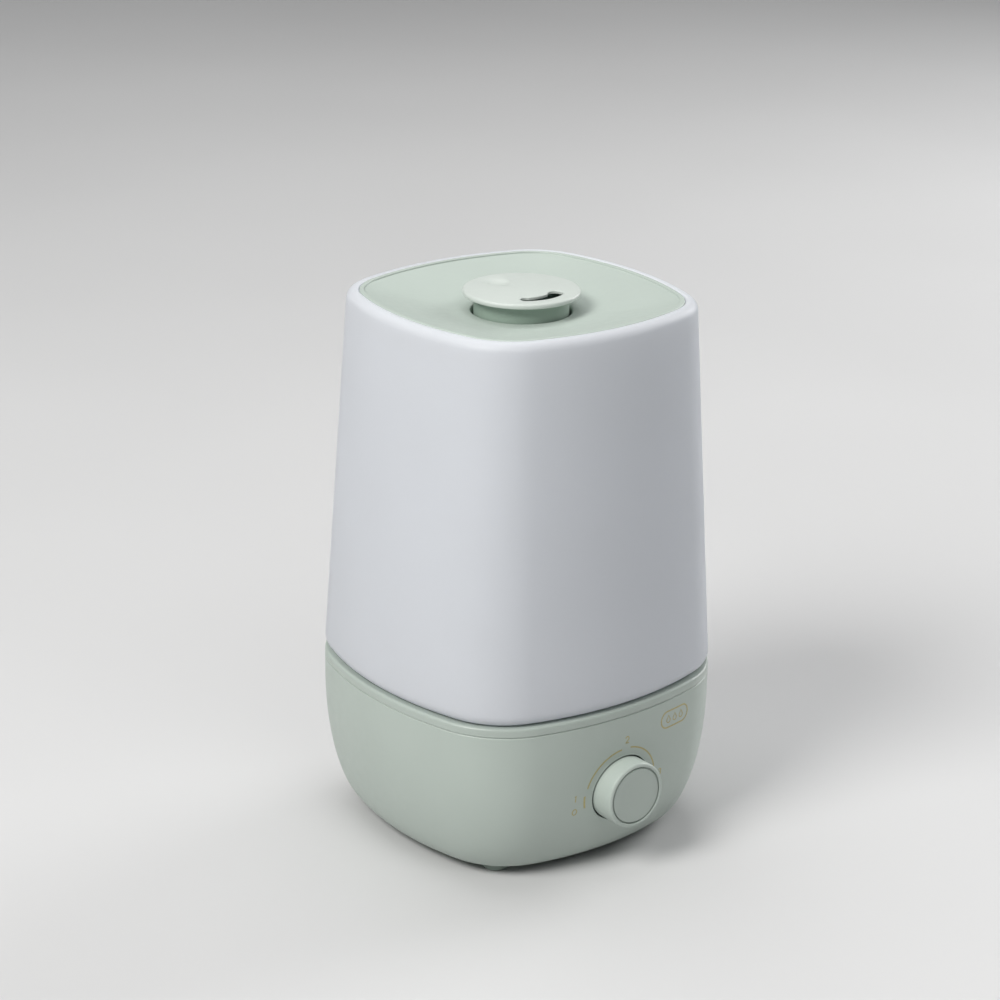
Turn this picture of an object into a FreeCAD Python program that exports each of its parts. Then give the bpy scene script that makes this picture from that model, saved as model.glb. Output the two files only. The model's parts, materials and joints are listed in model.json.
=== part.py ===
"""Cool mist humidifier: a green bowl-shaped base, a frosted tank that lifts off it, a lid and a nozzle.

Millimetres, +Z up, front towards -Y. The origin is on the floor, on the bowl's axis.
"""
import FreeCAD, Part
import math
import os
import re
import Sketcher
from FreeCAD import Placement, Rotation, Vector

UP = Rotation()
BACK = Rotation(Vector(1, 0, 0), -90)
FRONT = Rotation(Vector(1, 0, 0), 90)
RIGHT = Rotation(Vector(0, 1, 0), 90)
DOWN = Rotation(Vector(1, 0, 0), 180)
SQUARE = ((-1, -1), (1, -1), (1, 1), (-1, 1))

SIZES = {
    # plan outline of the base and of the tank: corner and side-bow radii, as shares of the half width
    "base_corner": 0.532, "base_bow": 2.086, "tank_corner": 0.475, "tank_bow": 1.973,
    # base casing: a flat floor, a quarter-ellipse bowl and an upright band under the rim
    "foot_height": 3.5, "floor_half": 64.5, "rim_half": 84, "bowl_top": 70, "casing_top": 79,
    "casing_wall": 2.4, "casing_floor": 4, "rim_top": 83.5, "rim_inner": 76.5, "seam_chamfer": 0.5,
    "rim_round": 1.3, "foot_place": 46.5, "foot_radius": 6.7, "foot_recess": 1,
    # bottom cover
    "cover_radius": 54, "cover_hole": 50, "cover_thick": 2.5, "cover_screw_place": 46,
    # water basin
    "tray_wall": 2.4, "shelf_level": 62, "basin_level": 50, "well_level": 28, "shelf_half": 74.5,
    "tower_top": 77, "collar_radius": 6.6, "lamp_x": 18, "lamp_y": -8, "lamp_hole": 4.4,
    "post_x": 42, "post_y": 26, "post_radius": 2.6, "post_top": 71.7,
    # transducer under the well
    "mist_x": -2, "mist_y": 14, "mist_hole": 7, "seal_outer": 10, "disc_radius": 9, "bracket_side": 30,
    # fan and duct
    "fan_x": -40, "fan_y": 36, "fan_side": 30, "fan_base": 12, "fan_height": 10, "fan_bore": 13.5,
    "rotor_radius": 12.4, "grille_x": -27, "grille_y": 25, "grille_radius": 13, "grille_pitch": 3.6,
    "duct_x": -48, "duct_y": 39, "duct_length": 18, "duct_width": 24, "duct_wall": 1.6,
    # circuit board
    "board_x": 20, "board_y": -22, "board_length": 32, "board_width": 28, "board_thick": 1.6, "board_base": 12,
    # dial
    "dial_height": 41.6, "knob_face": 93.4, "knob_back": 75.5, "knob_radius": 16.15, "knob_hole": 17,
    "cap_radius": 13.8, "switch_front": 72, "switch_depth": 12, "switch_side": 23, "shaft_radius": 3,
    # DC jack
    "jack_x": 20, "jack_height": 26, "jack_side": 11, "jack_bore": 3.25, "jack_face": 77.8,
    # float and cartridge
    "pivot_x": -44, "pivot_y": 24, "pivot_z": 66.5, "pin_radius": 1.5, "float_x": -40, "float_y": -19,
    "float_radius": 12, "cartridge_x": -12, "cartridge_y": -34,
    # tank
    "tank_bottom_half": 84, "tank_top_half": 73.5, "tank_top": 264, "tank_wall": 2.5, "tank_foot_round": 6,
    "tank_top_round": 4.6, "mouth_half": 67.9, "ledge_half": 64.6, "ledge_level": 258, "floor_hole_half": 66,
    "skirt_half": 75, "skirt_bottom": 77, "clear_thick": 2, "chimney_outer": 18, "chimney_inner": 16,
    "chimney_top": 250, "valve_radius": 8, "plunger_radius": 2.4,
    "spring_radius": 4, "spring_length": 3.4,
    # lid and nozzle
    "lid_half": 67.6, "lip_width": 2.4, "lip_step": 0.8, "dish_level": 256.2, "dish_radius": 27,
    "lid_hole": 23.7, "collar_outer": 25.8, "collar_bottom": 245, "collar_ledge": 247,
    "nozzle_neck": 22.4, "nozzle_radius": 27.7,
    "nozzle_disc_base": 264, "nozzle_top": 266.4, "nozzle_skin": 1.4, "slot_outer": 20.8, "bulb_radius": 3.7,
    "tail_radius": 2.9, "bulb_angle": -62, "tail_angle": -121, "island_shift": 1.3, "island_radius": 14.9,
    "dimple_radius": 5.5, "dimple_x": -2.6, "dimple_y": 14.6,
}

doc = FreeCAD.newDocument("Humidifier")
sheet = doc.addObject("Spreadsheet::Sheet", "Sizes")
for row, (alias, number) in enumerate(SIZES.items(), start=1):
    sheet.set(f"A{row}", alias)
    sheet.set(f"B{row}", str(number))
    sheet.setAlias(f"B{row}", alias)
doc.recompute()
nodes = []


def value(formula):
    return float(sheet.evalExpression(formula))


def bind(item, setting, formula):
    linked = re.sub(r"[a-z]\w*", lambda word: f"Sizes.{word[0]}" if word[0] in SIZES else word[0], formula)
    item.setExpression(setting, linked)


def place(item, x="0", y="0", z="0", rotation=UP):
    item.Placement = Placement(Vector(), rotation)
    for letter, formula in zip("xyz", (x, y, z)):
        bind(item, f"Placement.Base.{letter}", formula)
    return item


def node(item, label):
    """Mark a finished piece: its label names its file."""
    item.Label = label
    nodes.append(item)
    return item


# ---------------------------------------------------------------- Part primitives and booleans

def block(name, size, x, y, z):
    """Box centred on x and y, standing on z."""
    item = doc.addObject("Part::Box", name)
    for setting, formula in zip(("Length", "Width", "Height"), size):
        bind(item, setting, formula)
    return place(item, f"{x} - ({size[0]}) / 2", f"{y} - ({size[1]}) / 2", z)


def rod(name, radius, length, x, y, z, rotation=UP):
    item = doc.addObject("Part::Cylinder", name)
    bind(item, "Radius", radius)
    bind(item, "Height", length)
    return place(item, x, y, z, rotation)


def cut(name, base, *tools):
    item = doc.addObject("Part::Cut", name)
    item.Base = base
    item.Tool = tools[0] if len(tools) == 1 else fuse(f"{name}_tools", *tools)
    return item


def fuse(name, *items):
    item = doc.addObject("Part::MultiFuse", name)
    item.Shapes = list(items)
    return item


def group(name, items):
    """Identical pieces kept as separate solids of one node."""
    item = doc.addObject("Part::Compound", name)
    item.Links = list(items)
    return node(item, name)


def tube(name, outer, inner, length, x, y, z, rotation=UP):
    shell = rod(f"{name}_outer", outer, length, x, y, z, rotation)
    return cut(name, shell, rod(f"{name}_bore", inner, length, x, y, z, rotation))


def screw(name, x, y, z, length, rotation=UP, head="2.6", shank="1.4"):
    """Pan-head screw; z is the head's far face, and the shank runs along the rotation's axis."""
    axis = rotation.multVec(Vector(0, 0, 1))
    start = [f"{base} + {1.6 * part}" for base, part in zip((x, y, z), axis)]
    return fuse(name, rod(f"{name}_head", head, "1.6", x, y, z, rotation),
                rod(f"{name}_shank", shank, length, *start, rotation))


# ---------------------------------------------------------------- sketches

def sketch_on(body, name, role="XY_Plane", offset="0"):
    sketch = body.newObject("Sketcher::SketchObject", name)
    plane = next(feature for feature in body.Origin.OriginFeatures if feature.Role == role)
    sketch.AttachmentSupport = (plane, [""])
    sketch.MapMode = "FlatFace"
    bind(sketch, "AttachmentOffset.Base.z", offset)
    return sketch


def locate(sketch, item, point, x, y):
    """Fix a sketch point at the place that two formulas give."""
    for kind, formula, axis in (("DistanceX", x, -2), ("DistanceY", y, -1)):
        distance = value(formula)
        if abs(distance) < 1e-9:
            sketch.addConstraint(Sketcher.Constraint("PointOnObject", item, point, axis))
            continue
        ends = (-1, 1, item, point) if distance > 0 else (item, point, -1, 1)
        index = sketch.addConstraint(Sketcher.Constraint(kind, *ends, abs(distance)))
        bind(sketch, f"Constraints[{index}]", formula if distance > 0 else f"-({formula})")


def polygon(sketch, points):
    corners = [Vector(value(x), value(y), 0) for x, y in points]
    lines = [sketch.addGeometry(Part.LineSegment(start, end))
             for start, end in zip(corners, corners[1:] + corners[:1])]
    for line, follower in zip(lines, lines[1:] + lines[:1]):
        sketch.addConstraint(Sketcher.Constraint("Coincident", line, 2, follower, 1))
    for line, (x, y) in zip(lines, points):
        locate(sketch, line, 1, x, y)
    return sketch


def circle(sketch, radius, x="0", y="0"):
    item = sketch.addGeometry(Part.Circle(Vector(value(x), value(y), 0), Vector(0, 0, 1), value(radius)))
    locate(sketch, item, 3, x, y)
    index = sketch.addConstraint(Sketcher.Constraint("Radius", item, value(radius)))
    bind(sketch, f"Constraints[{index}]", radius)
    return sketch


def soft_square(sketch, full, corner, bow, inset="0"):
    """Four bowed sides and four round corners, all tangent: the plan outline of every shell.

    full is the half width of the outline that sets the radii, and inset moves it inwards.
    """
    half_text, corner_text, bow_text = (f"{share} * ({full}) - ({inset})" for share in ("1", corner, bow))
    half, corner_radius, bow_radius = value(half_text), value(corner_text), value(bow_text)
    side = half - bow_radius
    middle = (side + math.sqrt(2 * (bow_radius - corner_radius) ** 2 - side ** 2)) / 2
    turn = math.atan2(middle, middle - side)
    arcs = []
    for quarter in range(4):
        start = quarter * math.pi / 2
        spin = Rotation(Vector(0, 0, 1), math.degrees(start))
        for centre, radius, low, high in (
                (Vector(side, 0, 0), bow_radius, start - turn, start + turn),
                (Vector(middle, middle, 0), corner_radius, start + turn, start + math.pi / 2 - turn)):
            ring = Part.Circle(spin.multVec(centre), Vector(0, 0, 1), radius)
            arcs.append(sketch.addGeometry(Part.ArcOfCircle(ring, low, high)))
    for arc, follower in zip(arcs, arcs[1:] + arcs[:1]):
        sketch.addConstraint(Sketcher.Constraint("Tangent", arc, 2, follower, 1))
    for arc in arcs[2:]:
        sketch.addConstraint(Sketcher.Constraint("Equal", arcs[arcs.index(arc) % 2], arc))
    for quarter, (x, y) in enumerate(((1, 0), (0, 1), (-1, 0), (0, -1))):
        reach = f"({half_text}) - ({bow_text})"
        locate(sketch, arcs[2 * quarter], 3, f"{x} * ({reach})", f"{y} * ({reach})")
    for arc, radius, text in ((arcs[0], bow_radius, bow_text), (arcs[1], corner_radius, corner_text)):
        index = sketch.addConstraint(Sketcher.Constraint("Radius", arc, radius))
        bind(sketch, f"Constraints[{index}]", text)
    return sketch


# ---------------------------------------------------------------- PartDesign features

def new_body(name):
    return node(doc.addObject("PartDesign::Body", name), name)


def extrude(body, kind, name, sketch, length, flip=False):
    feature = body.newObject(f"PartDesign::{kind}", name)
    feature.Profile = sketch
    bind(feature, "Length", length)
    feature.Reversed = flip
    return feature


def pad(body, name, sketch, length, flip=False):
    return extrude(body, "Pad", name, sketch, length, flip)


def pocket(body, name, sketch, length, flip=False):
    """Cut from the sketch down into the body, or up with flip, and check that it removes material."""
    doc.recompute()
    before = body.Shape.Volume
    feature = extrude(body, "Pocket", name, sketch, length, flip)
    doc.recompute()
    if not body.Shape.Volume < before - 1e-6:
        raise ValueError(f"{name} cuts nothing")
    return feature


def bosses(body, name, spots, radius, height, length):
    """Round bosses at the spots, standing on a height."""
    for number, (x, y) in enumerate(spots):
        line = circle(sketch_on(body, f"{name}_line_{number}", offset=height), radius, x, y)
        pad(body, f"{name}_{number}", line, length)


def holes(body, name, spots, radius, height, depth, flip=True):
    """Round holes at the spots, cut up from a height, or down from it without flip."""
    for number, (x, y) in enumerate(spots):
        line = circle(sketch_on(body, f"{name}_line_{number}", offset=height), radius, x, y)
        pocket(body, f"{name}_{number}", line, depth, flip)


def loft(body, kind, name, sections, ruled=False):
    feature = body.newObject(f"PartDesign::{kind}Loft", name)
    feature.Profile = sections[0]
    feature.Sections = sections[1:]
    feature.Ruled = ruled
    return feature


def revolve(body, name, sketch):
    feature = body.newObject("PartDesign::Revolution", name)
    feature.Profile = sketch
    feature.ReferenceAxis = (sketch, ["V_Axis"])
    feature.Angle = 360
    return feature


def dress(body, kind, name, size, chosen):
    """Fillet or Chamfer on the edges of the tip that the function chosen accepts."""
    doc.recompute()
    base = body.Tip
    edges = [f"Edge{number}" for number, edge in enumerate(base.Shape.Edges, start=1) if chosen(edge.BoundBox)]
    if not edges:
        raise ValueError(f"{name} finds no edge")
    feature = body.newObject(f"PartDesign::{kind}", name)
    feature.Base = (base, edges)
    bind(feature, "Radius" if kind == "Fillet" else "Size", size)
    return feature


def level_edges(height, inner, outer):
    """Accept edges that lie flat at a height and reach between two distances from the axis."""
    top, low, high = value(height), value(inner), value(outer)

    def accepts(box):
        reach = max(abs(box.XMin), abs(box.XMax), abs(box.YMin), abs(box.YMax))
        return abs(box.ZMin - top) < 0.01 and abs(box.ZMax - top) < 0.01 and low < reach < high
    return accepts


def turned(name, profile, x="0", y="0", z="0", rotation=UP):
    """Body of revolution: profile is a list of (radius, height) formulas about its own axis."""
    body = doc.addObject("PartDesign::Body", name)
    revolve(body, f"{name}_turn", polygon(sketch_on(body, f"{name}_profile", "XZ_Plane"), profile))
    place(body, x, y, z, rotation)
    return body


def turned_node(name, *details):
    return node(turned(name, *details), name)


def base_outline(body, name, half, height, inset="0"):
    return soft_square(sketch_on(body, name, offset=height), half, "base_corner", "base_bow", inset)


def tank_outline(body, name, half, height, inset="0"):
    return soft_square(sketch_on(body, name, offset=height), half, "tank_corner", "tank_bow", inset)


# ---------------------------------------------------------------- places that several pieces share

def corners(distance, x="0", y="0"):
    return [(f"{x} + {a} * {distance}", f"{y} + {b} * {distance}") for a in (-1, 1) for b in (-1, 1)]


def sides(distance):
    return [(distance, "0"), ("0", distance), (f"-{distance}", "0"), ("0", f"-{distance}")]


def bracket_corners():
    return corners("(bracket_side / 2 - 3.2)", "mist_x", "mist_y")


def board_corners():
    return [(f"board_x + {x} * (board_length / 2 - 3)", f"board_y + {y} * (board_width / 2 - 3)")
            for x in (-1, 1) for y in (-1, 1)]


def fan_corners():
    """Three corners of the fan's frame: the duct covers the fourth."""
    first, _, *others = corners("(fan_side / 2 - 2.6)", "fan_x", "fan_y")
    return [first, *others]


def duct_outline(inset):
    half_x, half_y = f"(duct_length / 2 - {inset})", f"(duct_width / 2 - {inset})"
    return [(f"duct_x + {x} * {half_x}", f"duct_y + {y} * {half_y}") for x, y in SQUARE]


# ---------------------------------------------------------------- base shells

def bowl_sections(body, name, floor, start_half, end_half):
    """Outlines that climb a quarter ellipse from the floor to the upright band."""
    return [base_outline(body, f"{name}_{angle}",
                         f"{start_half} + ({end_half} - ({start_half})) * sin({angle}deg)",
                         f"{floor} + (bowl_top - ({floor})) * (1 - cos({angle}deg))")
            for angle in range(0, 91, 15)]


def base_casing():
    body = new_body("base_casing")
    outside = bowl_sections(body, "casing_out", "foot_height", "floor_half", "rim_half")
    loft(body, "Additive", "casing_bowl", outside)
    band = base_outline(body, "casing_band_line", "rim_half", "bowl_top")
    pad(body, "casing_band", band, "casing_top - bowl_top")
    loft(body, "Subtractive", "casing_hollow",
         bowl_sections(body, "casing_in", "foot_height + casing_floor", "floor_half - casing_wall",
                       "rim_half - casing_wall"))
    mouth = base_outline(body, "casing_mouth_line", "rim_half - casing_wall", "casing_top")
    pocket(body, "casing_mouth", mouth, "casing_top - bowl_top")
    pocket(body, "cover_seat", circle(sketch_on(body, "seat_line", offset="foot_height"), "cover_radius + 0.2"),
           "cover_thick", flip=True)
    pocket(body, "cover_opening", circle(sketch_on(body, "opening_line", offset="foot_height"), "cover_hole"),
           "casing_floor + 1", flip=True)
    holes(body, "foot_recess", corners("foot_place"), "foot_radius + 0.1", "foot_height", "foot_recess")
    knob = circle(sketch_on(body, "knob_line", "XZ_Plane", "50"), "knob_hole", "0", "dial_height")
    pocket(body, "knob_opening", knob, "60", flip=True)
    half = "(jack_side / 2 + 0.2)"
    jack = [(f"jack_x + {x} * {half}", f"jack_height + {z} * {half}") for x, z in SQUARE]
    pocket(body, "jack_opening", polygon(sketch_on(body, "jack_line", "XZ_Plane", "-50"), jack), "60")
    dress(body, "Chamfer", "casing_seam", "seam_chamfer", level_edges("casing_top", "60", "85"))
    return body


LOW_BASIN = [("-70", "16"), ("-70", "-36"), ("-50", "-52"), ("24", "-52"), ("18", "-39.5"), ("5.5", "-21.5"),
             ("9", "-6"), ("22", "20"), ("22", "44"), ("-28", "44"), ("-28", "16")]
WELL = [("-22", "30"), ("2", "38"), ("12", "36"), ("19", "24"), ("6.5", "-4"), ("-22", "-4")]
TOWER = [("-39", "29"), ("-39", "57"), ("-52", "57"), ("-63", "46"), ("-63", "29")]


def grown(points, step):
    """The outline moved by one step in x and y, away from its middle."""
    middle_x, middle_y = (sum(value(point[axis]) for point in points) / len(points) for axis in (0, 1))
    return [(f"{x} {'+' if value(x) > middle_x else '-'} {step}",
             f"{y} {'+' if value(y) > middle_y else '-'} {step}") for x, y in points]


def base_tray():
    body = new_body("base_tray")
    pad(body, "tray_rim", base_outline(body, "rim_line", "rim_half", "casing_top"), "rim_top - casing_top")
    sections = [base_outline(body, f"tray_skirt_{name}", "rim_half", height, f"rim_half - {half} - tray_wall")
                for name, height, half in (("top", "casing_top", "rim_inner"),
                                           ("low", "shelf_level - tray_wall", "shelf_half"))]
    loft(body, "Additive", "tray_block", sections, ruled=True)
    low_line = sketch_on(body, "low_block_line", offset="shelf_level - tray_wall")
    pad(body, "low_block", polygon(low_line, grown(LOW_BASIN, "tray_wall")), "shelf_level - basin_level",
        flip=True)
    deep_line = sketch_on(body, "well_block_line", offset="basin_level - tray_wall")
    pad(body, "well_block", polygon(deep_line, grown(WELL, "tray_wall")), "basin_level - well_level", flip=True)
    bosses(body, "cover_boss", sides("cover_screw_place"), "3.5", "foot_height + cover_thick",
           "shelf_level - foot_height - cover_thick - tray_wall")
    bosses(body, "bracket_boss", bracket_corners(), "2.6", "well_level - 4.6", "3")
    upper = [base_outline(body, "basin_top_line", "rim_half", "rim_top", "rim_half - rim_inner"),
             base_outline(body, "basin_low_line", "rim_half", "shelf_level", "rim_half - shelf_half")]
    loft(body, "Subtractive", "upper_basin", upper, ruled=True)
    pocket(body, "low_basin", polygon(sketch_on(body, "low_line", offset="shelf_level"), LOW_BASIN),
           "shelf_level - basin_level")
    pocket(body, "well", polygon(sketch_on(body, "well_line", offset="basin_level"), WELL),
           "basin_level - well_level")
    pocket(body, "transducer_hole", circle(sketch_on(body, "mist_line", offset="well_level"), "mist_hole",
                                           "mist_x", "mist_y"), "5")
    duct = polygon(sketch_on(body, "duct_line", offset="shelf_level"), duct_outline("duct_wall"))
    pocket(body, "duct_opening", duct, "tray_wall + 1")
    pad(body, "lamp_collar", circle(sketch_on(body, "collar_line", offset="shelf_level"), "collar_radius",
                                    "lamp_x", "lamp_y"), "1.6")
    pocket(body, "lamp_opening", circle(sketch_on(body, "lamp_line", offset="shelf_level + 2"), "lamp_hole",
                                        "lamp_x", "lamp_y"), "6")
    pad(body, "valve_post", circle(sketch_on(body, "post_line", offset="shelf_level"), "post_radius",
                                   "post_x", "post_y"), "post_top - shelf_level")
    pad(body, "float_stop", circle(sketch_on(body, "stop_line", offset="basin_level - 0.5"), "2", "float_x",
                                   "float_y - 7"), "4.6")
    for side, start in (("left", "-5.8"), ("right", "3.6")):
        ear = polygon(sketch_on(body, f"ear_line_{side}", "YZ_Plane", f"pivot_x + ({start})"),
                      [("pivot_y - 3.4", "shelf_level - 0.5"), ("pivot_y + 3.4", "shelf_level - 0.5"),
                       ("pivot_y + 3.4", "pivot_z + 2"), ("pivot_y + 1.8", "pivot_z + 3.6"),
                       ("pivot_y - 1.8", "pivot_z + 3.6"), ("pivot_y - 3.4", "pivot_z + 2")])
        pad(body, f"ear_{side}", ear, "2.2")
    pin_line = sketch_on(body, "pin_line", "YZ_Plane", "pivot_x - 8")
    pocket(body, "pin_hole", circle(pin_line, "pin_radius", "pivot_y", "pivot_z"), "16", flip=True)
    tooth_line = polygon(sketch_on(body, "tooth_line", offset="basin_level - 0.5"),
                         [("-33", "-2"), ("-28.5", "-2"), ("-28.5", "0"), ("-33", "0")])
    tooth = pad(body, "guard_tooth", tooth_line, "shelf_level - basin_level - 1")
    teeth = body.newObject("PartDesign::LinearPattern", "guard_teeth")
    teeth.Originals = [tooth]
    teeth.Direction = (tooth_line, ["V_Axis"])
    teeth.Length = 15
    teeth.Occurrences = 5
    body.Tip = teeth
    holes(body, "cover_screw_hole", sides("cover_screw_place"), "1.4", "foot_height + cover_thick", "11")
    holes(body, "bracket_screw_hole", bracket_corners(), "1.1", "well_level - 4.6", "3.6")
    dress(body, "Fillet", "rim_rounding", "rim_round", level_edges("rim_top", "60", "85"))
    dress(body, "Chamfer", "tray_seam", "seam_chamfer", level_edges("casing_top", "80", "85"))
    return body


def air_tower():
    """Hood on the shelf over the duct: the air leaves through a slot on its front."""
    body = new_body("air_tower")
    pad(body, "hood", polygon(sketch_on(body, "hood_line", offset="shelf_level"), TOWER),
        "tower_top - shelf_level")
    dress(body, "Fillet", "hood_round", "2.5",
          lambda box: box.ZLength > 14 and box.XLength < 0.01 and box.XMax < -30 and box.YMin > 28)
    inside = polygon(sketch_on(body, "hood_hollow_line", offset="shelf_level"), duct_outline("duct_wall"))
    pocket(body, "hood_hollow", inside, "tower_top - shelf_level - 2", flip=True)
    outlet = [("34", "shelf_level + 4"), ("50", "shelf_level + 4"), ("50", "shelf_level + 11"),
              ("34", "shelf_level + 11")]
    outlet_line = sketch_on(body, "outlet_line", "YZ_Plane", "-45")
    pocket(body, "hood_outlet", polygon(outlet_line, outlet), "7", flip=True)
    dress(body, "Fillet", "hood_top_round", "1",
          lambda box: abs(box.ZMin - value("tower_top")) < 0.01 and box.ZLength < 0.01)
    return body


def bottom_cover():
    body = new_body("bottom_cover")
    pad(body, "cover_plate", circle(sketch_on(body, "cover_line", offset="foot_height"), "cover_radius"),
        "cover_thick")
    bosses(body, "board_pillar", board_corners(), "2.6", "foot_height + cover_thick",
           "board_base - foot_height - cover_thick")
    holes(body, "board_pillar_hole", board_corners(), "1.1", "board_base", "5", flip=False)
    holes(body, "plate_screw_hole", sides("cover_screw_place"), "1.7", "foot_height", "cover_thick + 1")
    holes(body, "plate_head_seat", sides("cover_screw_place"), "2.9", "foot_height", "1.6")
    for number in range(-3, 4):
        reach = f"sqrt(grille_radius ^ 2 - ({number} * grille_pitch) ^ 2)"
        slot = polygon(sketch_on(body, f"inlet_line_{number + 3}", offset="foot_height"),
                       [(f"grille_x + {x} * {reach}", f"grille_y + {number} * grille_pitch + {y} * 0.9")
                        for x, y in SQUARE])
        pocket(body, f"inlet_{number + 3}", slot, "cover_thick + 1", flip=True)
    return body


def feet_and_cover_screws():
    feet = []
    for number, (x, y) in enumerate(corners("foot_place")):
        foot = doc.addObject("Part::Fillet", f"foot_{number}")
        foot.Base = rod(f"foot_puck_{number}", "foot_radius", "foot_height + foot_recess", x, y, "0")
        doc.recompute()
        rims = [index for index, edge in enumerate(foot.Base.Shape.Edges, start=1) if edge.BoundBox.ZMax < 0.01]
        foot.Edges = [(index, 1.0, 1.0) for index in rims]
        feet.append(foot)
    group("rubber_feet", feet)
    group("cover_screws", [screw(f"cover_screw_{number}", x, y, "foot_height", "10")
                           for number, (x, y) in enumerate(sides("cover_screw_place"))])


# ---------------------------------------------------------------- inside the base

def mist_maker():
    below = "well_level - tray_wall"
    node(tube("transducer_seal", "seal_outer", "mist_hole - 0.4", "1.2", "mist_x", "mist_y", f"{below} - 1.2"),
         "transducer_seal")
    node(rod("transducer_disc", "disc_radius", "1.2", "mist_x", "mist_y", f"{below} - 2.4"), "transducer_disc")
    plate = block("bracket_plate", ("bracket_side", "bracket_side", "1.6"), "mist_x", "mist_y", f"{below} - 4")
    openings = [rod("bracket_window", "mist_hole", "4", "mist_x", "mist_y", f"{below} - 5")]
    openings += [rod(f"bracket_screw_hole_{number}", "1.2", "4", x, y, f"{below} - 5")
                 for number, (x, y) in enumerate(bracket_corners())]
    node(cut("transducer_bracket", plate, *openings), "transducer_bracket")
    group("transducer_screws", [screw(f"transducer_screw_{number}", x, y, f"{below} - 5.6", "5", head="2.2",
                                      shank="1.1") for number, (x, y) in enumerate(bracket_corners())])


def electronics():
    board = block("board_plate", ("board_length", "board_width", "board_thick"), "board_x", "board_y",
                  "board_base")
    drilled = [rod(f"board_hole_{number}", "1.3", "4", x, y, "board_base - 1")
               for number, (x, y) in enumerate(board_corners())]
    node(cut("main_board", board, *drilled), "main_board")
    top = "board_base + board_thick"
    group("board_screws", [screw(f"board_screw_{number}", x, y, f"{top} + 1.6", "5", DOWN, head="2.2",
                                 shank="1.1") for number, (x, y) in enumerate(board_corners())])
    base = block("sink_base", ("14", "8", "1.6"), "board_x", "board_y + 2", top)
    fins = [block(f"sink_fin_{number}", ("1.2", "8", "8"), f"board_x - 6.4 + 3.2 * {number}", "board_y + 2",
                  top) for number in range(5)]
    node(fuse("heat_sink", base, *fins), "heat_sink")
    group("capacitors", [rod(f"capacitor_{number}", "3", "9", f"board_x - 5 + 8 * {number}", "board_y - 8", top)
                         for number in range(2)])
    node(tube("coil", "3.6", "1.4", "6", "board_x + 2", "board_y + 10", top), "coil")


def fan():
    shell = block("fan_frame", ("fan_side", "fan_side", "fan_height"), "fan_x", "fan_y", "fan_base")
    bore = rod("fan_frame_bore", "fan_bore", "fan_height", "fan_x", "fan_y", "fan_base")
    drilled = [rod(f"fan_hole_{number}", "1.5", "fan_height", x, y, "fan_base")
               for number, (x, y) in enumerate(fan_corners())]
    hub = tube("fan_hub", "4.5", "1.05", "2", "fan_x", "fan_y", "fan_base")
    spokes = [block("fan_spoke_x", ("fan_side - 2", "2", "1.6"), "fan_x", "fan_y", "fan_base"),
              block("fan_spoke_y", ("2", "fan_side - 2", "1.6"), "fan_x", "fan_y", "fan_base")]
    spider = cut("fan_spider", fuse("fan_spokes", *spokes),
                 rod("spider_bore", "2", "4", "fan_x", "fan_y", "fan_base - 1"))
    node(fuse("fan_housing", cut("fan_shell", shell, bore, *drilled), hub, spider), "fan_housing")
    rotor = [rod("rotor_hub", "5.5", "6.4", "fan_x", "fan_y", "fan_base + 2.6"),
             rod("rotor_shaft", "1", "2.4", "fan_x", "fan_y", "fan_base + 0.3")]
    for number in range(7):
        blade = doc.addObject("Part::Box", f"blade_{number}")
        bind(blade, "Length", "rotor_radius - 4.6")
        blade.Width = 1
        blade.Height = 5.6
        turn = Rotation(Vector(0, 0, 1), 360 / 7 * number) * Rotation(Vector(1, 0, 0), -38)
        start = turn.multVec(Vector(4.6, 0, 0))
        place(blade, f"fan_x + {start.x}", f"fan_y + {start.y}", "fan_base + 3.4", turn)
        rotor.append(blade)
    node(fuse("fan_rotor", *rotor), "fan_rotor")
    flange = block("duct_flange", ("fan_side", "fan_side", "2"), "fan_x", "fan_y", "fan_base + fan_height")
    height = "shelf_level - tray_wall - fan_base - fan_height"
    pipe = block("duct_pipe", ("duct_length", "duct_width", height), "duct_x", "duct_y",
                 "fan_base + fan_height")
    size = ("duct_length - 2 * duct_wall", "duct_width - 2 * duct_wall", f"{height} + 2")
    way = block("duct_way", size, "duct_x", "duct_y", "fan_base + fan_height - 1")
    flange_holes = [rod(f"duct_hole_{number}", "1.5", "4", x, y, "fan_base + fan_height - 1")
                    for number, (x, y) in enumerate(fan_corners())]
    joined = fuse("duct_body", flange, pipe)
    node(cut("fan_duct", joined, way, *flange_holes), "fan_duct")
    group("fan_screws", [screw(f"fan_screw_{number}", x, y, "fan_base + fan_height + 3.6", "11", DOWN,
                               head="2.2", shank="1.3") for number, (x, y) in enumerate(fan_corners())])


def lamp():
    outline = [("0", "0"), ("5.2", "0"), ("5.2", "1.6"), ("lamp_hole - 0.2", "1.6"), ("lamp_hole - 0.2", "11.5"),
               ("2.4", "14.2"), ("0", "14.8")]
    body = turned_node("lamp_dome", outline, "lamp_x", "lamp_y", "shelf_level - tray_wall - 1.6")
    dress(body, "Fillet", "dome_round", "1.9", lambda box: 11.4 < box.ZMin < 14.3 and box.ZLength < 0.01)
    node(block("lamp_board", ("8", "8", "1.6"), "lamp_x", "lamp_y", "shelf_level - tray_wall - 3.2"),
         "lamp_board")


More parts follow.
